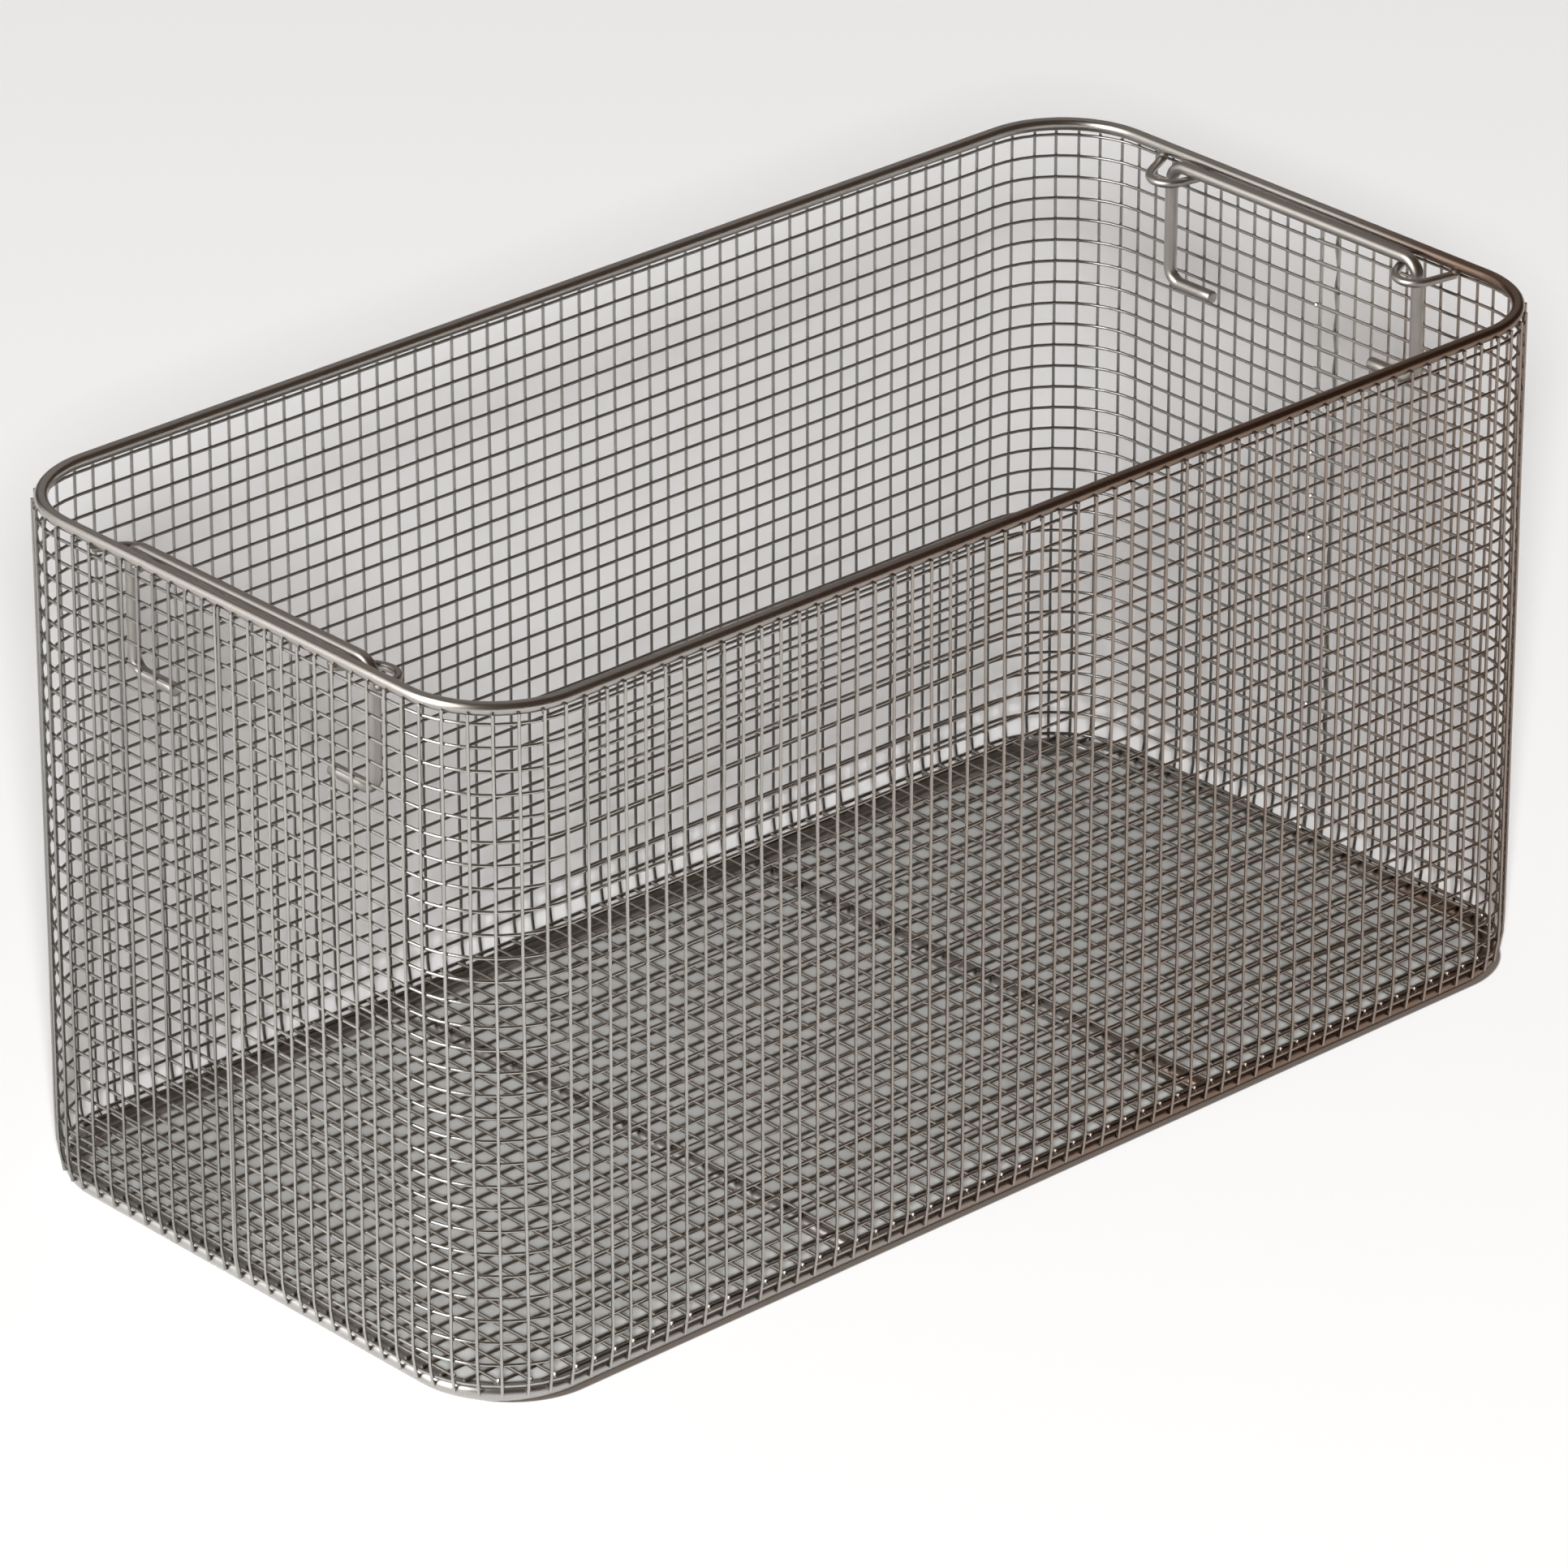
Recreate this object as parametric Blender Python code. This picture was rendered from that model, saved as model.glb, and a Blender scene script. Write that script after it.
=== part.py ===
"""Deep sterilization basket of welded steel wire mesh with two lifting handles.

Two mesh sheets bent to a U meet at the middle of both ends. They are spot welded to
the outside of a rim rod and of a bottom frame rod. A flat mesh floor lies on the
frame and on two cross bars. Each end carries a bent rod handle that hangs by its
feet in two wire eyelets under the rim and slides straight up.
Metres, +Z up. The origin is the middle of the footprint, on the ground.
"""
import math

import bmesh
import bpy
from mathutils import Matrix, Vector

# Overall size over the mesh, and the fits
overall_length = 0.480
overall_width = 0.242
overall_height = 0.244
outer_corner_radius = 0.038
weld_gap = 0.0003

# Rods of the rim, the bottom frame and the floor
rim_diameter = 0.0045
frame_diameter = 0.006
cross_bar_length_shares = (-1 / 6, 1 / 6)

# Welded mesh: upright wires outside, level wires inside. One wire in four is drawn,
# but every one of the floor's long wires, held by one in eight of its short ones
wire_size = 0.0012
wire_pitch = 0.008
wires_per_drawn_wire = 4
floor_wires_per_short_wire = 8
weld_sink = 0.0003
rim_lap = 0.00125
frame_lap = 0.004
top_wire_drop = 0.0045
bottom_wire_height = 0.0082
floor_edge_gap = 0.001

# Handles, one bent rod each, standing just inside the rim
handle_diameter = 0.0045
handle_leg_spacing = 0.117
handle_standoff = 0.0069
grip_sag = 0.0008
handle_depth = 0.0435
handle_foot_length = 0.021
grip_bend_radius = 0.0065
foot_bend_radius = 0.0055

# Eyelets, wire loops that reach inward from under the rim
eyelet_diameter = 0.003
eyelet_reach = 0.0147
eyelet_nose_radius = 0.0078
eyelet_mouth = 0.022
eyelet_droop = 0.00175

# Facets: steps per quarter turn, and sides of a rod, a multiple of four
corner_steps = 6
mesh_corner_steps = 4
bend_steps = 4
nose_steps = 9
rod_sides = 12
eyelet_sides = 8

# Values that follow
rim_radius = rim_diameter / 2
frame_radius = frame_diameter / 2
eyelet_radius = eyelet_diameter / 2
drawn_pitch = wire_pitch * wires_per_drawn_wire
upright_depth = wire_size / 2
level_depth = upright_depth + wire_size - weld_sink
mesh_depth = 2 * wire_size - weld_sink
rim_depth = wire_size + weld_gap + rim_radius
frame_depth = wire_size + weld_gap + frame_radius
rim_height = overall_height - rim_radius
mesh_top = rim_height - rim_radius + rim_lap
mesh_bottom = frame_diameter - frame_lap
straight_length = overall_length - 2 * outer_corner_radius
straight_width = overall_width - 2 * outer_corner_radius


def clear_scene():
    for thing in list(bpy.data.objects):
        bpy.data.objects.remove(thing, do_unlink=True)


def steel(name, colour, roughness):
    """A bare stainless finish."""
    material = bpy.data.materials.new(name)
    material.use_nodes = True
    shader = material.node_tree.nodes["Principled BSDF"]
    shader.inputs["Base Color"].default_value = (*colour, 1)
    shader.inputs["Roughness"].default_value = roughness
    shader.inputs["Metallic"].default_value = 1
    return material


def arc(centre, radius, start, sweep, steps):
    """Points of a flat arc, as pairs, from the angle start through sweep."""
    angles = [start + sweep * i / steps for i in range(steps + 1)]
    return [(centre[0] + radius * math.cos(a), centre[1] + radius * math.sin(a)) for a in angles]


def rounded_rectangle(depth):
    """The outline in plan that runs the given depth inside the overall box."""
    radius = outer_corner_radius - depth
    outline = []
    for quarter, (sx, sy) in enumerate(((1, 1), (-1, 1), (-1, -1), (1, -1))):
        centre = (sx * straight_length / 2, sy * straight_width / 2)
        outline += arc(centre, radius, quarter * math.pi / 2, math.pi / 2, corner_steps)
    return outline


def rod(name, points, diameter, material, closed=False, sides=rod_sides):
    """A rod along the points whose flats touch the real round, one below and one above."""
    curve = bpy.data.curves.new(name, "CURVE")
    curve.dimensions = "3D"
    curve.twist_mode = "Z_UP" if closed else "MINIMUM"
    curve.bevel_depth = diameter / 2 / math.cos(math.pi / sides)
    curve.bevel_resolution = sides // 2 - 2
    curve.use_fill_caps = True
    spline = curve.splines.new("POLY")
    spline.points.add(len(points) - 1)
    for node, point in zip(spline.points, points):
        node.co = (*point, 1)
        node.tilt = math.pi / sides
    spline.use_cyclic_u = closed
    thing = bpy.data.objects.new(name, curve)
    thing.data.materials.append(material)
    bpy.context.scene.collection.objects.link(thing)
    return thing


def mesh_object(name, bm, material=None):
    mesh = bpy.data.meshes.new(name)
    bmesh.ops.recalc_face_normals(bm, faces=bm.faces)
    bm.to_mesh(mesh)
    bm.free()
    thing = bpy.data.objects.new(name, mesh)
    if material:
        mesh.materials.append(material)
    bpy.context.scene.collection.objects.link(thing)
    return thing


def add_bar(bm, low, high):
    """A straight square wire that fills the box from low to high."""
    low, high = Vector(low), Vector(high)
    place = Matrix.Translation((low + high) / 2) @ Matrix.Diagonal((*(high - low), 1))
    bmesh.ops.create_cube(bm, size=1, matrix=place)


def weld(name, first, second, material):
    """One sheet from two layers of wires that sink into each other at each crossing."""
    sheet = mesh_object(name, first, material)
    layer = mesh_object(name + "_second_layer", second)
    layer.hide_render = True
    layer.display_type = "WIRE"
    layer.parent = sheet
    joint = sheet.modifiers.new("weld", "BOOLEAN")
    joint.operation = "UNION"
    joint.object = layer
    return sheet


def level_heights():
    """Heights of the drawn level wires, from under the rim down to above the frame."""
    top = rim_height - top_wire_drop
    count = int((top - bottom_wire_height) / drawn_pitch)
    return [top - i * drawn_pitch for i in range(count + 1)] + [bottom_wire_height]


def flat_panel(name, start, end, uprights, material):
    """A flat stretch of wall along local X, its outer face on local Y zero."""
    standing, level = bmesh.new(), bmesh.new()
    half = wire_size / 2
    for x in uprights:
        add_bar(standing, (x - half, 0, mesh_bottom), (x + half, wire_size, mesh_top))
    for z in level_heights():
        add_bar(level, (start, wire_size - weld_sink, z - half), (end, mesh_depth, z + half))
    return weld(name, standing, level, material)


def corner_panel(name, material):
    """A quarter turn of wall about local Z, from local +X round to local +Y."""
    standing, level = bmesh.new(), bmesh.new()
    half = wire_size / 2
    radius = outer_corner_radius - wire_size
    count = round(radius * math.pi / 2 / drawn_pitch)
    for i in range(count):
        turn = Matrix.Rotation((i + 1 / 2) / count * math.pi / 2, 4, "Z")
        bar = bmesh.new()
        add_bar(bar, (radius, -half, mesh_bottom), (outer_corner_radius, half, mesh_top))
        bar.transform(turn)
        piece = bpy.data.meshes.new("upright")
        bar.to_mesh(piece)
        bar.free()
        standing.from_mesh(piece)
        bpy.data.meshes.remove(piece)
    inner = outer_corner_radius - mesh_depth
    gap_angle = weld_gap / 2 / inner
    for z in level_heights():
        ends = ((inner, z - half), (radius + weld_sink, z - half),
                (radius + weld_sink, z + half), (inner, z + half))
        corners = [level.verts.new((x, 0, height)) for x, height in ends]
        face = level.faces.new(corners)
        bmesh.ops.rotate(level, verts=corners, matrix=Matrix.Rotation(gap_angle, 3, "Z"))
        bmesh.ops.spin(level, geom=[face, *face.edges, *corners], cent=(0, 0, 0), axis=(0, 0, 1),
                       angle=math.pi / 2 - 2 * gap_angle, steps=mesh_corner_steps)
    bmesh.ops.holes_fill(level, edges=[e for e in level.edges if e.is_boundary])
    return weld(name, standing, level, material)


def centred(span, pitch):
    """Evenly pitched places centred on zero that fit in the span."""
    count = int(span / pitch) + 1
    return [(i - (count - 1) / 2) * pitch for i in range(count)]


def add_sheet(side, turn, material):
    """One U-shaped sheet: a long wall, two corners and two half ends, turned in plan."""
    half_length, half_width = overall_length / 2, overall_width / 2
    spin = Matrix.Rotation(turn, 4, "Z")
    reach = straight_length / 2 - weld_gap / 2
    wall = flat_panel(side + "_mesh_wall", -reach, reach, centred(straight_length, drawn_pitch), material)
    wall.matrix_world = spin @ Matrix.Translation((0, -half_width, 0))
    seam = weld_gap / 2
    inner_end = straight_width / 2 - weld_gap / 2
    count = int((inner_end - seam - wire_size) / drawn_pitch) + 1
    from_seam = [seam + wire_size / 2 + i * drawn_pitch for i in range(count)]
    left = flat_panel(side + "_mesh_end_left", seam, inner_end, from_seam, material)
    left.matrix_world = (spin @ Matrix.Translation((-half_length, 0, 0))
                         @ Matrix.Rotation(-math.pi / 2, 4, "Z"))
    right = flat_panel(side + "_mesh_end_right", -inner_end, -seam, [-x for x in from_seam], material)
    right.matrix_world = (spin @ Matrix.Translation((half_length, 0, 0))
                          @ Matrix.Rotation(math.pi / 2, 4, "Z"))
    for end, sx, angle in (("left", -1, math.pi), ("right", 1, -math.pi / 2)):
        corner = corner_panel(f"{side}_mesh_corner_{end}", material)
        centre = (sx * straight_length / 2, -straight_width / 2, 0)
        corner.matrix_world = spin @ Matrix.Translation(centre) @ Matrix.Rotation(angle, 4, "Z")


def floor_extent(place, along, across, radius):
    """Half the length of a floor wire that lies at place, inside the round corners."""
    past = max(0, abs(place) - (across - radius))
    return along - radius + math.sqrt(radius ** 2 - past ** 2)


def add_floor(material):
    """The flat mesh floor, cut to the round corners, lying on the frame and the bars."""
    depth = mesh_depth + floor_edge_gap
    half_length, half_width = overall_length / 2 - depth, overall_width / 2 - depth
    radius = outer_corner_radius - depth
    lower, upper = bmesh.new(), bmesh.new()
    half = wire_size / 2
    low = frame_diameter + weld_gap
    for y in centred(2 * half_width, wire_pitch):
        x = floor_extent(abs(y) + half, half_length, half_width, radius)
        add_bar(lower, (-x, y - half, low), (x, y + half, low + wire_size))
    for x in centred(2 * half_length, wire_pitch * floor_wires_per_short_wire):
        y = floor_extent(abs(x) + half, half_width, half_length, radius)
        add_bar(upper, (x - half, -y, low + wire_size - weld_sink), (x + half, y, low + mesh_depth))
    weld("floor_mesh", lower, upper, material)


def add_frame(material):
    """The bottom frame rod and the two bars between its long sides."""
    outline = [(x, y, frame_radius) for x, y in rounded_rectangle(frame_depth)]
    rod("bottom_frame", outline, frame_diameter, material, closed=True)
    reach = overall_width / 2 - frame_depth - frame_radius - weld_gap
    for i, share in enumerate(cross_bar_length_shares, 1):
        x = share * overall_length
        points = [(x, -reach, frame_radius), (x, reach, frame_radius)]
        rod(f"floor_cross_bar_{i}", points, frame_diameter, material)


def eyelet_points():
    """The wire loop in plan: mouth on local X zero, nose on +X, with its droop."""
    centre = (eyelet_reach - eyelet_nose_radius, 0)
    mouth = Vector((0, eyelet_mouth / 2))
    toward = mouth - Vector(centre)
    tangent = math.atan2(toward.y, toward.x) - math.acos(eyelet_nose_radius / toward.length)
    nose = arc(centre, eyelet_nose_radius, tangent, -2 * tangent, nose_steps)
    outline = [tuple(mouth), *nose, (mouth.x, -mouth.y)]
    return [(x, y, -eyelet_droop * x / eyelet_reach) for x, y in outline]


def add_eyelet(name, place, turn, material):
    thing = rod(name, eyelet_points(), eyelet_diameter, material, sides=eyelet_sides)
    thing.location = place
    thing.rotation_euler = (0, 0, turn)


def handle_points():
    """Foot, leg, grip, leg and foot in the local YZ plane, the grip's axis at zero."""
    side = handle_leg_spacing / 2
    down = -handle_depth
    quarter = math.pi / 2
    grip, foot = grip_bend_radius, foot_bend_radius
    right = [(side - handle_foot_length, down)]
    right += arc((side - foot, down + foot), foot, -quarter, quarter, bend_steps)
    right += arc((side - grip, -grip), grip, 0, quarter, bend_steps)
    left = [(-y, z) for y, z in reversed(right)]
    return [(0, y, z) for y, z in right + left]


def add_handle(name, x, material):
    thing = rod(name, handle_points(), handle_diameter, material)
    thing.location = (x, 0, rim_height - grip_sag)


def build():
    clear_scene()
    rod_steel = steel("rod_steel", (0.60, 0.58, 0.55), 0.22)
    mesh_steel = steel("mesh_steel", (0.56, 0.56, 0.53), 0.35)
    handle_steel = steel("handle_steel", (0.63, 0.61, 0.58), 0.18)
    rim = [(x, y, rim_height) for x, y in rounded_rectangle(rim_depth)]
    rod("top_rim", rim, rim_diameter, rod_steel, closed=True)
    add_frame(rod_steel)
    add_floor(mesh_steel)
    add_sheet("front", 0, mesh_steel)
    add_sheet("rear", math.pi, mesh_steel)
    rim_x = overall_length / 2 - rim_depth
    eyelet_z = rim_height - rim_radius - weld_gap - eyelet_radius
    for end, sx in (("left", -1), ("right", 1)):
        add_handle(f"{end}_handle", sx * (rim_x - handle_standoff), handle_steel)
        for side, sy in (("front", -1), ("rear", 1)):
            place = (sx * rim_x, sy * handle_leg_spacing / 2, eyelet_z)
            add_eyelet(f"{end}_{side}_eyelet", place, 0 if sx < 0 else math.pi, handle_steel)


build()
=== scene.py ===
"""A deep sterilization basket of welded stainless mesh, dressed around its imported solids.

Every wire of the mesh is here: two sheets bent to a U on the outside of the rods, the floor
sheet, the weld at each crossing, and the rods, eyelets and handles with their bends.
"""
import math
import random

import bmesh
import bpy
from mathutils import Matrix, Vector, noise


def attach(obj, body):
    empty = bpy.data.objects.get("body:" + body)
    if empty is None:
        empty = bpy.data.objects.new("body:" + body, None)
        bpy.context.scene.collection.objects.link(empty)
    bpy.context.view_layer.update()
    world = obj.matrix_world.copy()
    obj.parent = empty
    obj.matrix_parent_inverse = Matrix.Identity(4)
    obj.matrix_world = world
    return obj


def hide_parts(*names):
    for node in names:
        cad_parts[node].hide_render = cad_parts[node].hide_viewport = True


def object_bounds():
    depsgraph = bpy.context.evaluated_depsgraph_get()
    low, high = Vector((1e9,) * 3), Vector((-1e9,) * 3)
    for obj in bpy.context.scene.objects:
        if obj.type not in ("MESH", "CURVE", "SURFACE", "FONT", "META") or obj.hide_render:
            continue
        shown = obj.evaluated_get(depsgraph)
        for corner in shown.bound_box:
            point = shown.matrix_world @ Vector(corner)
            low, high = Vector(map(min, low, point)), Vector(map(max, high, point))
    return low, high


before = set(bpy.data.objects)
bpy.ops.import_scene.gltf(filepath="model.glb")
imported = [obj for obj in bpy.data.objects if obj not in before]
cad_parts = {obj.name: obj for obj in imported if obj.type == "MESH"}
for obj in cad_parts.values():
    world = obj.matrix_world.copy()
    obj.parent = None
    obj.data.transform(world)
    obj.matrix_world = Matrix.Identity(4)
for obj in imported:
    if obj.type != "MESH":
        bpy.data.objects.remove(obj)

cad_low, cad_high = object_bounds()

# Rim: one stainless rod of 4.5 mm, bent to a rounded rectangle and butt welded. It is
# electropolished, so it is glossy, with faint drawing lines along the rod.
length, width, height = cad_high.x - cad_low.x, cad_high.y - cad_low.y, cad_high.z - cad_low.z
corner_radius = 0.038
rim_diameter = 0.0045
rim_depth = 0.00375
rim_level = height - rim_diameter / 2
rod_sides = 24
corner_steps = 16
quarter = math.pi / 2
butt_joint_gap = 0.00001
sharp_edge = math.radians(50)
line_stretch, line_scale, line_strength = (3, 3, 14), 3.5, 0.3
peel_scale, peel_strength, peel_depth = 1400, 0.25, 0.00004
patch_share, tone_span = 0.7, (0.62, 1.08)
# Painted shade on the steel: darker and browner towards the front right corner
shade_way, shade_span, shade_tint = (0.7, -2.6, 0), (0.13, 0.37), (0.50, 0.35, 0.27)


def start_rod(bm, place, facing, diameter, sides):
    """The round outline a rod starts from; each vertex notes where on the rod it lies."""
    grain = bm.verts.layers.float_vector.get("grain") or bm.verts.layers.float_vector.new("grain")
    turn = Vector(facing).to_track_quat("Z", "Y").to_matrix().to_4x4()
    made = bmesh.ops.create_circle(bm, segments=sides, radius=diameter / 2,
                                   matrix=Matrix.Translation(place) @ turn)["verts"]
    for i, vert in enumerate(made):
        angle = 2 * math.pi * i / sides
        vert[grain] = (math.cos(angle), math.sin(angle), 0)
    return list(dict.fromkeys(edge for vert in made for edge in vert.link_edges))


def push(bm, ring, step, travelled):
    """Draws the rod on by one step, which is a transform of its last outline."""
    grain = bm.verts.layers.float_vector["grain"]
    made = bmesh.ops.extrude_edge_only(bm, edges=ring)["geom"]
    verts = {item for item in made if isinstance(item, bmesh.types.BMVert)}
    bmesh.ops.transform(bm, verts=list(verts), matrix=step)
    for vert in verts:
        vert[grain] = vert[grain] + Vector((0, 0, travelled))
    return [item for item in made
            if isinstance(item, bmesh.types.BMEdge) and verts.issuperset(item.verts)]


def feed(bm, ring, by, steps):
    """A straight stretch of rod."""
    by = Vector(by)
    for _ in range(steps):
        ring = push(bm, ring, Matrix.Translation(by / steps), by.length / steps)
    return ring


def bend(bm, ring, centre, axis, angle, steps):
    """A bend round a centre."""
    verts = list(dict.fromkeys(vert for edge in ring for vert in edge.verts))
    middle = sum((vert.co for vert in verts), Vector()) / len(verts)
    sweep = (middle - Vector(centre)).length * abs(angle) / steps
    there = Matrix.Translation(centre)
    step = there @ Matrix.Rotation(angle / steps, 4, axis) @ there.inverted()
    for _ in range(steps):
        ring = push(bm, ring, step, sweep)
    return ring


def close_ends(bm, rounding=0):
    """Sawn ends, with their edges rubbed round where a rounding is given."""
    rims = [edge for edge in bm.edges if edge.is_boundary]
    bmesh.ops.holes_fill(bm, edges=rims)
    if rounding:
        bmesh.ops.bevel(bm, geom=rims, offset=rounding, offset_type="OFFSET", segments=2,
                        profile=0.5, affect="EDGES", material=-1)


def mesh_of(name, bm):
    """The finished mesh, shaded smooth and with its faces turned outwards."""
    mesh = bpy.data.meshes.new(name)
    bmesh.ops.recalc_face_normals(bm, faces=bm.faces)
    for face in bm.faces:
        face.smooth = True
    bm.to_mesh(mesh)
    bm.free()
    return mesh


def fit(name, mesh, materials, body, nodes):
    """A finished piece: its steel, the body it moves with and the solids it stands for."""
    for material in materials:
        mesh.materials.append(material)
    mesh.set_sharp_from_angle(angle=sharp_edge)
    thing = bpy.data.objects.new(name, mesh)
    bpy.context.scene.collection.objects.link(thing)
    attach(thing, body)
    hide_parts(*nodes)


def add_node(tree, kind, **inputs):
    """A material node with its named inputs set or linked."""
    node = tree.nodes.new(kind)
    for name, value in inputs.items():
        socket = node.inputs[name.replace("_", " ")]
        if isinstance(value, bpy.types.NodeSocket):
            tree.links.new(value, socket)
        else:
            socket.default_value = value
    return node


def blend_tones(tree, share, first, second):
    """A blend of two colours, each one given in numbers or by a socket."""
    node = tree.nodes.new("ShaderNodeMix")
    node.data_type = "RGBA"
    tree.links.new(share, node.inputs["Factor"])
    for name, tone in (("A", first), ("B", second)):
        if isinstance(tone, bpy.types.NodeSocket):
            tree.links.new(tone, node.inputs[name])
        else:
            node.inputs[name].default_value = (*tone, 1)
    return node.outputs["Result"]


def steel(name, pale, dark, smooth, rough, patch_scale, line_depth, shade_share):
    """Stainless steel: patches of tone, drawing lines along the wire and a fine orange peel.
    Painted shade makes it darker and browner towards the front right corner, by the share
    given, standing in for the darker reflections there."""
    material = bpy.data.materials.new(name)
    material.use_nodes = True
    tree = material.node_tree
    shader = tree.nodes["Principled BSDF"]
    shader.inputs["Metallic"].default_value = 1
    place = tree.nodes.new("ShaderNodeTexCoord").outputs["Object"]
    along = tree.nodes.new("ShaderNodeAttribute")
    along.attribute_name = "grain"
    drawn = add_node(tree, "ShaderNodeMapping", Vector=along.outputs["Vector"], Scale=line_stretch)
    lines = add_node(tree, "ShaderNodeTexNoise", Vector=drawn.outputs["Vector"],
                     Scale=line_scale, Detail=5)
    patches = add_node(tree, "ShaderNodeTexNoise", Vector=place, Scale=patch_scale, Detail=3)
    peel = add_node(tree, "ShaderNodeTexNoise", Vector=place, Scale=peel_scale, Detail=2)

    mixed = add_node(tree, "ShaderNodeMath", Value=patches.outputs["Fac"])
    mixed.operation = "MULTIPLY_ADD"
    mixed.inputs[1].default_value = patch_share
    tree.links.new(lines.outputs["Fac"], mixed.inputs[2])
    spread = add_node(tree, "ShaderNodeMapRange", Value=mixed.outputs["Value"],
                      From_Min=tone_span[0], From_Max=tone_span[1])
    clean = blend_tones(tree, spread.outputs["Result"], dark, pale)

    # Painted shade: the colour turns darker and browner towards the front right corner.
    across = tree.nodes.new("ShaderNodeVectorMath")
    across.operation = "DOT_PRODUCT"
    tree.links.new(place, across.inputs[0])
    across.inputs[1].default_value = shade_way
    shade_ramp = add_node(tree, "ShaderNodeMapRange", Value=across.outputs["Value"],
                       From_Min=shade_span[0], From_Max=shade_span[1], To_Max=shade_share)
    shade_ramp.interpolation_type = "SMOOTHSTEP"
    shade_tone = [part * tint for part, tint in zip(dark, shade_tint)]
    tree.links.new(blend_tones(tree, shade_ramp.outputs["Result"], clean, shade_tone),
                   shader.inputs["Base Color"])

    polish = add_node(tree, "ShaderNodeMapRange", Value=spread.outputs["Result"],
                      To_Min=rough, To_Max=smooth)
    tree.links.new(polish.outputs["Result"], shader.inputs["Roughness"])
    skin = add_node(tree, "ShaderNodeBump", Height=peel.outputs["Fac"], Strength=peel_strength,
                    Distance=peel_depth)
    scored = add_node(tree, "ShaderNodeBump", Height=lines.outputs["Fac"],
                      Normal=skin.outputs["Normal"], Strength=line_strength, Distance=line_depth)
    tree.links.new(scored.outputs["Normal"], shader.inputs["Normal"])
    return material


def bent_loop(name, depth, level, diameter):
    """A closed rounded rectangle of rod, the given depth inside the overall outline."""
    along, across = length / 2 - corner_radius, width / 2 - corner_radius
    bm = bmesh.new()
    ring = start_rod(bm, (0, -width / 2 + depth, level), (1, 0, 0), diameter, rod_sides)
    ring = feed(bm, ring, (along, 0, 0), steps=6)
    sides = ((1, -1, (0, 2 * across, 0)), (1, 1, (-2 * along, 0, 0)),
             (-1, 1, (0, -2 * across, 0)), (-1, -1, (along, 0, 0)))
    for sx, sy, straight in sides:
        ring = bend(bm, ring, (sx * along, sy * across, level), "Z", quarter, corner_steps)
        ring = feed(bm, ring, straight, steps=8)
    bmesh.ops.remove_doubles(bm, verts=bm.verts, dist=butt_joint_gap)
    return mesh_of(name, bm)


rod_steel = steel("electropolished_rod", pale=(0.47, 0.447, 0.42), dark=(0.40, 0.377, 0.35),
                  smooth=0.24, rough=0.33, patch_scale=38, line_depth=0.000004, shade_share=0.95)
fit("rim_rod", bent_loop("rim_rod", rim_depth, rim_level, rim_diameter), [rod_steel],
    "basket", ["top_rim"])

# Bottom frame: a thicker rod of 6 mm bent to the same outline, on which the basket stands,
# with two straight bars of the same rod butt welded between its long sides.
frame_diameter = 0.006
frame_depth = 0.0059
frame_level = frame_diameter / 2
bar_shares = (-1 / 6, 1 / 6)
bar_end_gap = frame_diameter * 0.42
bar_reach = width / 2 - frame_depth - bar_end_gap
bar_rounding = 0.0003
frame_steel = steel("tumbled_rod", pale=(0.50, 0.488, 0.47), dark=(0.42, 0.405, 0.385),
                    smooth=0.28, rough=0.38, patch_scale=38, line_depth=0.000004, shade_share=1)
frame_loop = bent_loop("bottom_frame_rod", frame_depth, frame_level, frame_diameter)
fit("bottom_frame_rod", frame_loop, [frame_steel], "basket", ["bottom_frame"])
for number, share in enumerate(bar_shares, 1):
    bar = bmesh.new()
    ring = start_rod(bar, (share * length, -bar_reach, frame_level), (0, 1, 0),
                     frame_diameter, rod_sides)
    feed(bar, ring, (0, 2 * bar_reach, 0), steps=12)
    close_ends(bar, bar_rounding)
    fit(f"floor_bar_{number}", mesh_of("floor_bar", bar), [frame_steel], "basket",
        [f"floor_cross_bar_{number}"])

# Wall mesh: drawn wire of a little over 1 mm at a pitch of 8 mm, the upright wires outside and
# the level wires inside, welded at each crossing. Two sheets are bent to a U and lap at both
# ends.
wire = 0.0011
wire_sides = 8
pitch = 0.008
crossing_gap = wire * 0.8
upright_depth = 0.0009
level_depth = upright_depth + crossing_gap
crossing_depth = (upright_depth + level_depth) / 2
end_bead_depth = upright_depth + wire * 0.45
melt_depth = level_depth + wire * 0.3
rim_bottom = rim_level - rim_diameter / 2
tip_lap = 0.0014
upright_foot = 0.0031
upright_tip = rim_bottom + tip_lap
head_level = upright_tip - wire * 0.7
foot_level = upright_foot + wire
first_row_drop = 0.0045
row_count, row_gap = 30, pitch - 0.00005
straight_half = length / 2 - corner_radius
end_half = width / 2 - corner_radius
turn_length = (corner_radius - upright_depth) * quarter
chance = random.Random(8)
spot_play, lean_play = 0.0004, 0.0016
stub_span = (0.0007, 0.0019)
melt_share = 0.45
wave_width, wave_length, wave_growth = 0.0005, 0.0155, 21
wander, wander_scale, wander_seeds = 0.00028, 21, (0, 7.3, 15.9)
tuck_height, tuck_depth, tuck_curve = 0.014, 0.0021, 1.5
tip_facing = Vector((-0.87, -0.25, 0.42))
slanted = tip_facing.to_track_quat("Z", "Y").to_matrix().to_4x4()
wire_slot, weld_slot, bright_slot = 0, 1, 2
weld_steel = steel("weld_bead", pale=(0.30, 0.275, 0.245), dark=(0.18, 0.16, 0.14),
                   smooth=0.40, rough=0.58, patch_scale=240, line_depth=0.000005, shade_share=0.6)
wire_steel = steel("drawn_wire", pale=(0.52, 0.51, 0.485), dark=(0.42, 0.405, 0.38),
                   smooth=0.12, rough=0.24, patch_scale=60, line_depth=0.000003, shade_share=0.7)
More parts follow.
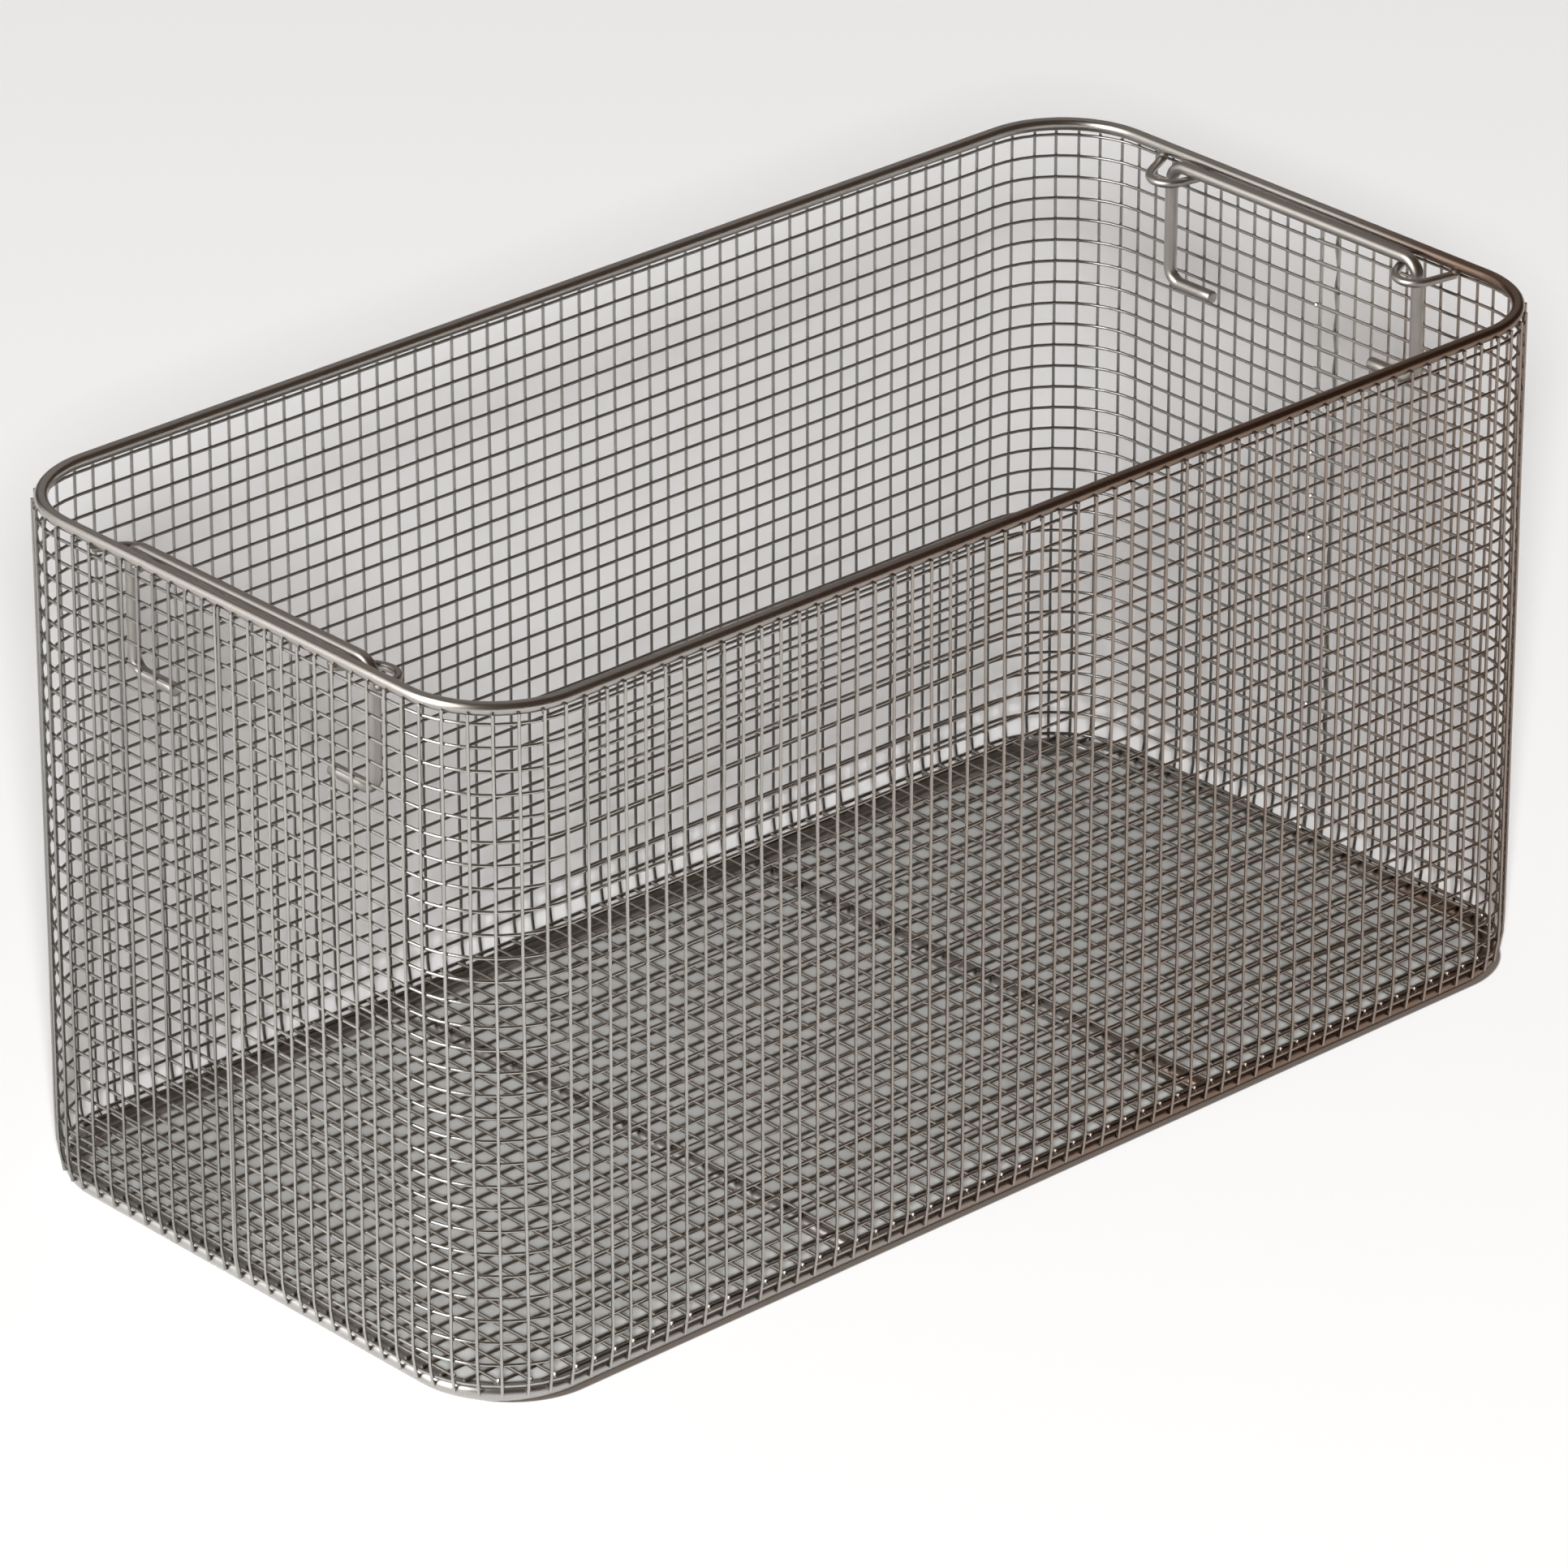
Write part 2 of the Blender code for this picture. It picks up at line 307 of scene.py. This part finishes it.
# The rear sheet's wire is a darker copy of the drawn wire: painted shade, for the darker
# reflections of the shaded floor inside the basket.
rear_painted_shade_steel = steel("drawn_wire_painted_darker", pale=(0.37, 0.362, 0.345), dark=(0.285, 0.276, 0.262),
                   smooth=0.14, rough=0.26, patch_scale=60, line_depth=0.000003, shade_share=0.4)


def play(most):
    """A small chance shift either way."""
    return chance.uniform(-most, most)


def raised(by):
    """A lift straight up."""
    return Matrix.Translation((0, 0, by))


def take_in(bm, mesh):
    """Adds a small mesh where it is, and clears it away."""
    bm.from_mesh(mesh)
    bpy.data.meshes.remove(mesh)


def add_copy(bm, mesh, matrix):
    """Adds a moved copy of a small mesh."""
    copy = mesh.copy()
    copy.transform(matrix)
    take_in(bm, copy)


def place_on_wall(distance, depth):
    """The frame of a point on a sheet's outline, by its distance from the long wall's
    middle: local X runs along the wall and local Y points into the basket."""
    side = 1 if distance >= 0 else -1
    rest = abs(distance) - straight_half
    if rest <= 0:
        return Matrix.Translation((distance, -width / 2 + depth, 0))
    angle = side * min(rest / turn_length, 1) * quarter
    centre = Matrix.Translation((side * straight_half, -end_half, 0))
    turned = centre @ Matrix.Rotation(angle, 4, "Z") @ Matrix.Translation(
        (0, -corner_radius + depth, 0))
    past = max(rest - turn_length, 0)
    return turned @ Matrix.Translation((side * past, 0, 0))


def straight_wire(name, start, along, steps):
    """One straight length of mesh wire with sawn ends."""
    bm = bmesh.new()
    feed(bm, start_rod(bm, start, along, wire, wire_sides), along, steps)
    close_ends(bm)
    return mesh_of(name, bm)


def weld_bead(name, shares, slot_index):
    """A flattened bead of weld metal, its size given in widths of the wire."""
    size = [wire * share for share in shares]
    bm = bmesh.new()
    bmesh.ops.create_icosphere(bm, subdivisions=1, radius=0.5, matrix=Matrix.Diagonal((*size, 1)))
    bm.verts.layers.float_vector.new("grain")
    for face in bm.faces:
        face.material_index = slot_index
    return mesh_of(name, bm)


def shake(bm, seed):
    """Draws the wires a little out of line, as handling leaves them."""
    shifts = [Vector((seed, 0, shift)) for shift in wander_seeds]
    for vert in bm.verts:
        vert.co += Vector([noise.noise(vert.co * wander_scale + shift)
                           for shift in shifts]) * wander


def tuck_in(bm):
    """Bends the lowest edge of the sheet in, to meet the frame rod."""
    for vert in bm.verts:
        rise = vert.co.z / tuck_height
        if rise < 1:
            core = Vector((max(-straight_half, min(vert.co.x, straight_half)),
                           max(-end_half, min(vert.co.y, end_half)), vert.co.z))
            vert.co -= (vert.co - core).normalized() * tuck_depth * (1 - rise) ** tuck_curve


def sheet(name, wire_finish, nodes, turn, left_end, right_end, row_shift, wavy_end, seed):
    """One U-shaped sheet, its ends given as distances past the middle of each end wall."""
    total = straight_half + turn_length + end_half
    first, last = -total - left_end, total + right_end
    count = round((last - first) / pitch)
    spots = [first + i * (last - first) / count for i in range(count + 1)]
    rows = [rim_level - first_row_drop - row_shift - i * row_gap for i in range(row_count)]
    foot_place, climb = (0, 0, upright_foot), (0, 0, upright_tip - upright_foot)
    upright = straight_wire("upright", foot_place, climb, steps=30)
    wavy = straight_wire("wavy", foot_place, climb, steps=90)
    for vert in wavy.vertices:
        vert.co.x += (wave_width * math.sin(vert.co.z * 2 * math.pi / wave_length)
                      * math.sin(vert.co.z * wave_growth))
    bead = weld_bead("bead", (1.35, 1.25, 1.5), weld_slot)
    head = weld_bead("head", (1.3, 1.0, 2.2), weld_slot)
    foot = weld_bead("foot", (1.1, 1.1, 2.2), weld_slot)
    melt = weld_bead("melt", (2.0, 2.0, 0.9), wire_slot)

    # The upright wires, each with its weld at the rim and at the foot.
    bm, bead_row = bmesh.new(), bmesh.new()
    half_way = raised(height / 2)
    for i, spot in enumerate(spots):
        off = 0 if i in (0, count) else play(spot_play)
        lean = Matrix.Rotation(play(lean_play), 4, "Y")
        spin = Matrix.Rotation(chance.uniform(0, math.pi), 4, "Z")
        bent = wavy_end and i == 0
        if bent:
            spin = Matrix()
        add_copy(bm, wavy if bent else upright, place_on_wall(spot + off, upright_depth)
                 @ half_way @ lean @ half_way.inverted() @ spin)
        add_copy(bead_row, bead, place_on_wall(spot + off, crossing_depth))
        on_wall = place_on_wall(spot + off, end_bead_depth)
        add_copy(bm, head, on_wall @ raised(head_level))
        add_copy(bm, foot, on_wall @ raised(foot_level))
    bead_mesh = mesh_of("bead_row", bead_row)

    # The level wires, bent round both corners. Some of their cut tips have melted to a bead.
    for row in rows:
        stubs = [chance.uniform(*stub_span) for _ in range(2)]
        tips = (first - stubs[0], last + stubs[1])
        level = bmesh.new()
        ring = start_rod(level, place_on_wall(tips[0], level_depth) @ Vector((0, 0, row)),
                         (0, -1, 0), wire, wire_sides)
        ring = feed(level, ring, (0, -(end_half + left_end + stubs[0]), 0), steps=12)
        ring = bend(level, ring, (-straight_half, -end_half, row), "Z", quarter, steps=9)
        ring = feed(level, ring, (2 * straight_half, 0, 0), steps=50)
        ring = bend(level, ring, (straight_half, -end_half, row), "Z", quarter, steps=9)
        feed(level, ring, (0, end_half + right_end + stubs[1], 0), steps=12)
        close_ends(level)
        for tip in tips:
            if chance.random() < melt_share:
                tip_place = place_on_wall(tip, melt_depth) @ Vector((0, 0, row))
                add_copy(level, melt, Matrix.Translation(tip_place) @ slanted)
        take_in(bm, mesh_of("level", level))
        add_copy(bm, bead_mesh, raised(row))

    shake(bm, seed)
    tuck_in(bm)
    mesh = mesh_of(name, bm)
    mesh.transform(Matrix.Rotation(turn, 4, "Z"))
    fit(name, mesh, [wire_finish, weld_steel], "basket", nodes)


sheet("front_mesh_sheet", wire_steel,
      ["front_mesh_wall", "front_mesh_corner_left", "front_mesh_corner_right",
       "front_mesh_end_left", "front_mesh_end_right"],
      turn=0, left_end=0.0055, right_end=-0.0045, row_shift=0, wavy_end=False, seed=3)
# The rear sheet is drawn with the darker copy of the wire, as painted shade.
sheet("rear_mesh_sheet", rear_painted_shade_steel,
      ["rear_mesh_wall", "rear_mesh_corner_left", "rear_mesh_corner_right",
       "rear_mesh_end_left", "rear_mesh_end_right"],
      turn=math.pi, left_end=0.0118, right_end=-0.0042, row_shift=0.0003, wavy_end=True, seed=9)

# Floor mesh: a flat sheet of the same wire, cut to the round corners, lying on the frame rod
# and spot welded to it and to the two bars.
wall_gap, edge_play = wire * 1.3, 0.001
floor_radius = corner_radius - level_depth - wall_gap
floor_half_length = length / 2 - level_depth - wall_gap - edge_play
floor_half_width = width / 2 - level_depth - wall_gap - edge_play
lower_height = frame_diameter + wire / 2
upper_height = lower_height + crossing_gap
crossing_height = (lower_height + upper_height) / 2
edge_margin = 0.0025
long_count, short_count = 30, 59
long_steps, short_steps = 40, 24
row_play, bar_weld_play = 0.0003, 0.0005
bead_hops = 3
floor_seed = 17
# The floor wire is darker and rougher than the wall wire.
floor_steel = steel("darker_rougher_floor_wire", pale=(0.34, 0.318, 0.287), dark=(0.265, 0.242, 0.213),
                    smooth=0.36, rough=0.50, patch_scale=60, line_depth=0.000004, shade_share=0.3)


def half_span(place, along, across):
    """Half the length of a floor wire at a place, inside the round corners."""
    past = max(0, abs(place) - (across - floor_radius))
    return along - floor_radius + math.sqrt(max(floor_radius ** 2 - past ** 2, 0))


def evenly(half, count):
    """Places at one pitch from -half to half, each a little off by chance."""
    return [half * (2 * i / (count - 1) - 1) + play(row_play) for i in range(count)]


long_places = evenly(floor_half_width - edge_margin, long_count)
short_places = evenly(floor_half_length - edge_margin, short_count)
floor = bmesh.new()
for y in long_places:
    reach = half_span(y, floor_half_length, floor_half_width)
    take_in(floor, straight_wire("long_wire", (-reach, y, lower_height), (2 * reach, 0, 0),
                                 long_steps))
for x in short_places:
    reach = half_span(x, floor_half_width, floor_half_length)
    take_in(floor, straight_wire("short_wire", (x, -reach, upper_height), (0, 2 * reach, 0),
                                 short_steps))

# A bead at each crossing. At the round corners the whole beads that lie past the edge go.
floor_bead = weld_bead("floor_bead", (1.4, 1.4, 1.2), weld_slot)
row_of_beads, beads = bmesh.new(), bmesh.new()
for x in short_places:
    add_copy(row_of_beads, floor_bead, Matrix.Translation((x, 0, crossing_height)))
row_mesh = mesh_of("floor_bead_row", row_of_beads)
for y in long_places:
    add_copy(beads, row_mesh, Matrix.Translation((0, y, 0)))
past_edge = {vert for vert in beads.verts if abs(vert.co.y) > half_span(
    vert.co.x, floor_half_width, floor_half_length) + wire}
for _ in range(bead_hops):
    past_edge |= {edge.other_vert(vert) for vert in past_edge for edge in vert.link_edges}
for vert in [vert for vert in beads.verts if vert in past_edge]:
    beads.verts.remove(vert)
take_in(floor, mesh_of("floor_beads", beads))

# Welds of the long wires on the bars, and the bright cut tips along the front edge.
bar_bead = weld_bead("bar_bead", (1.6, 2.4, 1.1), weld_slot)
for share in bar_shares:
    for y in long_places:
        add_copy(floor, bar_bead, Matrix.Translation(
            (share * length + play(bar_weld_play), y, frame_diameter)))
bright_tip = weld_bead("bright_tip", (2.1, 2.1, 0.9), bright_slot)
for x in short_places:
    add_copy(floor, bright_tip, Matrix.Translation(
        (x, -half_span(x, floor_half_width, floor_half_length), upper_height)) @ slanted)
shake(floor, floor_seed)
fit("floor_mesh_sheet", mesh_of("floor_mesh_sheet", floor), [floor_steel, weld_steel, wire_steel],
    "basket", ["floor_mesh"])

# Eyelets: four loops of 3 mm wire, their splayed ends welded under the rim. The handle's legs
# hang in them.
eyelet_wire = 0.003
eyelet_sides = 16
eyelet_reach = 0.0147
eyelet_level = rim_bottom - eyelet_wire / 2
eyelet_rounding = 0.0004
nose_radius = 0.0078
mouth_half = 0.011
seat_rise = eyelet_wire * 0.35
seat_size = (0.0038, 0.0042, 0.0026)
droop = 0.00175
leg_spacing = 0.117
rim_line = length / 2 - rim_depth
handle_steel = steel("polished_handle", pale=(0.43, 0.408, 0.38), dark=(0.36, 0.34, 0.315),
                     smooth=0.32, rough=0.42, patch_scale=55, line_depth=0.000002, shade_share=0.1)


def eyelet(name, place, turn, node):
    """One loop: an arm, a round nose and the other arm, with a weld seat at each end."""
    centre = Vector((eyelet_reach - nose_radius, 0, 0))
    mouth = Vector((0, -mouth_half, 0))
    toward = centre - mouth
    swing = math.atan2(toward.y, toward.x) - math.asin(nose_radius / toward.length)
    arm = Vector((math.cos(swing), math.sin(swing), 0)) * math.sqrt(
        toward.length_squared - nose_radius ** 2)
    bm = bmesh.new()
    ring = start_rod(bm, mouth, arm, eyelet_wire, eyelet_sides)
    ring = feed(bm, ring, arm, steps=3)
    ring = bend(bm, ring, centre, "Z", math.pi - 2 * swing, steps=18)
    feed(bm, ring, (-arm.x, arm.y, 0), steps=3)
    close_ends(bm, eyelet_rounding)
    for sy in (-1, 1):
        matrix = Matrix.Translation((0, sy * mouth_half, seat_rise))
        seat = bmesh.ops.create_icosphere(bm, subdivisions=2, radius=0.5,
                                          matrix=matrix @ Matrix.Diagonal((*seat_size, 1)))
        for face in {face for vert in seat["verts"] for face in vert.link_faces}:
            face.material_index = weld_slot
    mesh = mesh_of(name, bm)
    tilt = Matrix.Rotation(math.atan2(droop, eyelet_reach), 4, "Y")
    mesh.transform(Matrix.Translation(place) @ Matrix.Rotation(turn, 4, "Z") @ tilt)
    fit(name, mesh, [handle_steel, weld_steel], "basket", [node])


for end, sx in (("left", -1), ("right", 1)):
    for side, sy in (("front", -1), ("rear", 1)):
        eyelet(f"{end}_{side}_loop", (sx * rim_line, sy * leg_spacing / 2, eyelet_level),
               0 if sx < 0 else math.pi, f"{end}_{side}_eyelet")

# Handles: one polished rod of 4.5 mm each, bent to a wide U whose feet turn in below the
# eyelets, so that it lifts by 35 mm and can't come out.
handle_diameter = 0.0045
handle_standoff = 0.0069
handle_depth = 0.0435
handle_rounding = 0.0006
grip_sag = 0.0008
grip_bend = 0.0065
foot_length = 0.021
foot_bend = 0.0055


def handle(name, x, body, node):
    """One handle, from its rear foot over the grip to its front foot."""
    side, top = leg_spacing / 2, rim_level - grip_sag
    bottom = top - handle_depth
    foot = (0, foot_length - foot_bend, 0)
    leg = handle_depth - foot_bend - grip_bend
    runs = ((foot, 3, side - foot_bend, bottom + foot_bend),
            ((0, 0, leg), 6, side - grip_bend, top - grip_bend),
            ((0, -2 * (side - grip_bend), 0), 14, -side + grip_bend, top - grip_bend),
            ((0, 0, -leg), 6, -side + foot_bend, bottom + foot_bend))
    bm = bmesh.new()
    ring = start_rod(bm, (x, side - foot_length, bottom), (0, 1, 0), handle_diameter, rod_sides)
    for straight, steps, bend_y, bend_z in runs:
        ring = feed(bm, ring, straight, steps)
        ring = bend(bm, ring, (x, bend_y, bend_z), "X", quarter, steps=10)
    feed(bm, ring, foot, steps=3)
    close_ends(bm, handle_rounding)
    fit(name, mesh_of(name, bm), [handle_steel], body, [node])


for end, sx in (("left", -1), ("right", 1)):
    handle(f"{end}_bent_handle", sx * (rim_line - handle_standoff), f"handle_{end}",
           f"{end}_handle")

# Camera: a long lens about 3 m from the front left corner, looking down by 26 degrees.
camera_place = (-1.8815, -2.0404, 1.4746)
camera_fall, camera_heading = 0.4594, 0.8273
camera_data = bpy.data.cameras.new("camera")
camera_data.lens = 215.1
camera_data.sensor_width = 36
camera = bpy.data.objects.new("camera", camera_data)
camera.location = camera_place
camera.rotation_euler = (quarter - camera_fall, 0, camera_heading - quarter)
bpy.context.scene.collection.objects.link(camera)
bpy.context.scene.camera = camera
bpy.context.scene.view_settings.view_transform = "Standard"

# Studio: a white floor with painted shade right under the basket, lighter at the left, and a
# painted contact shadow along the frame rod; a soft lamp above the camera that throws the shadow,
# ones at the left and behind that draw the highlights, and a dim warm room.
floor_white, white_tint = 0.93, (0.985, 0.995, 1)
under_shade_greys, under_shade_tint, under_shade_reach = (0.50, 0.43), (1, 1.01, 0.98), (-0.22, 0.30)
contact_shadow_grey, contact_shadow_tint = 0.15, (1, 0.85, 0.75)
contact_shadow_shift = (0.0022, -0.0022, 0)
contact_shadow_band = 0.0019
floor_roughness = 0.9
room_glow = (0.088, 0.062, 0.048, 1)
floor_paint = bpy.data.materials.new("studio_floor")
floor_paint.use_nodes = True
tree = floor_paint.node_tree
where = tree.nodes.new("ShaderNodeTexCoord").outputs["Object"]


def tinted(grey, tint):
    """A grey with a slight cast."""
    return [grey * part for part in tint]


def floor_step(operation, value, other=None):
    """One step of the sums that give a floor point's distance from an outline."""
    step = tree.nodes.new("ShaderNodeVectorMath")
    step.operation = operation
    tree.links.new(value, step.inputs[0])
    if other is not None:
        step.inputs[1].default_value = other
    return step.outputs["Value" if operation in ("DOT_PRODUCT", "LENGTH") else "Vector"]


def floor_tone(distance, near, far, inner, outer):
    """Inner tone up to a distance from an outline, outer tone past another."""
    ramp = add_node(tree, "ShaderNodeMapRange", Value=distance, From_Min=near, From_Max=far)
    ramp.interpolation_type = "SMOOTHSTEP"
    return blend_tones(tree, ramp.outputs["Result"], inner, outer)


# Painted shade on the floor under the basket, lighter at the left and darker at the right.
from_left = floor_step("DOT_PRODUCT", where, (1, 0, 0))
under = floor_tone(from_left, *under_shade_reach, *[tinted(grey, under_shade_tint) for grey in under_shade_greys])
from_core = floor_step("SUBTRACT", where, contact_shadow_shift)
for operation, other in (("ABSOLUTE", None), ("SUBTRACT", (straight_half, end_half, 0)),
                         ("MAXIMUM", (0, 0, 0)), ("LENGTH", None)):
    from_core = floor_step(operation, from_core, other)
# A painted contact shadow: a dark band along the line where the frame rod stands.
rod_line = corner_radius - frame_depth
under = floor_tone(from_core, rod_line - 1.5 * contact_shadow_band, rod_line - contact_shadow_band / 2,
                   under, tinted(contact_shadow_grey, contact_shadow_tint))
ground_tone = floor_tone(from_core, rod_line + contact_shadow_band / 2, rod_line + contact_shadow_band,
                         under, tinted(floor_white, white_tint))
tree.links.new(ground_tone, tree.nodes["Principled BSDF"].inputs["Base Color"])
tree.nodes["Principled BSDF"].inputs["Roughness"].default_value = floor_roughness
ground = bmesh.new()
bmesh.ops.create_grid(ground, x_segments=1, y_segments=1, size=9)
ground_mesh = bpy.data.meshes.new("studio_floor")
ground.to_mesh(ground_mesh)
ground.free()
ground_mesh.materials.append(floor_paint)
studio_floor = bpy.data.objects.new("studio_floor", ground_mesh)
bpy.context.scene.collection.objects.link(studio_floor)


def lamp(name, kind, azimuth, elevation, distance, power):
    """A lamp that faces the basket, its place given by angles in degrees."""
    azimuth, elevation = math.radians(azimuth), math.radians(elevation)
    light = bpy.data.lights.new(name, kind)
    light.energy = power
    thing = bpy.data.objects.new(name, light)
    way = Vector((math.cos(azimuth) * math.cos(elevation), math.sin(azimuth) * math.cos(elevation),
                  math.sin(elevation)))
    thing.location = way * distance
    thing.rotation_euler = way.to_track_quat("Z", "Y").to_euler()
    bpy.context.scene.collection.objects.link(thing)
    return thing


def softbox(name, azimuth, elevation, distance, size, power):
    """An oval soft lamp that shows in the steel and leaves the floor as it is."""
    thing = lamp(name, "AREA", azimuth, elevation, distance, power)
    thing.data.shape = "ELLIPSE"
    thing.data.size, thing.data.size_y = size
    thing.visible_diffuse = False


key = lamp("lamp_over_camera", "POINT", azimuth=227.5, elevation=28, distance=4.4, power=82)
key.data.shadow_soft_size = 0.27
key.data.use_nodes = True
glow = key.data.node_tree
even = add_node(glow, "ShaderNodeLightFalloff", Strength=1.0)
glow.links.new(even.outputs["Constant"], glow.nodes["Emission"].inputs["Strength"])
key.visible_glossy = False
key.visible_camera = False
softbox("lamp_left", azimuth=168, elevation=26, distance=2.6, size=(2.1, 2.6), power=80)
softbox("lamp_back_left", azimuth=133, elevation=18, distance=3.0, size=(3.4, 3.4), power=22)
softbox("lamp_behind", azimuth=50, elevation=50, distance=3.0, size=(4.4, 4.4), power=11)
world = bpy.data.worlds.new("studio")
bpy.context.scene.world = world
world.use_nodes = True
world.node_tree.nodes["Background"].inputs["Color"].default_value = room_glow
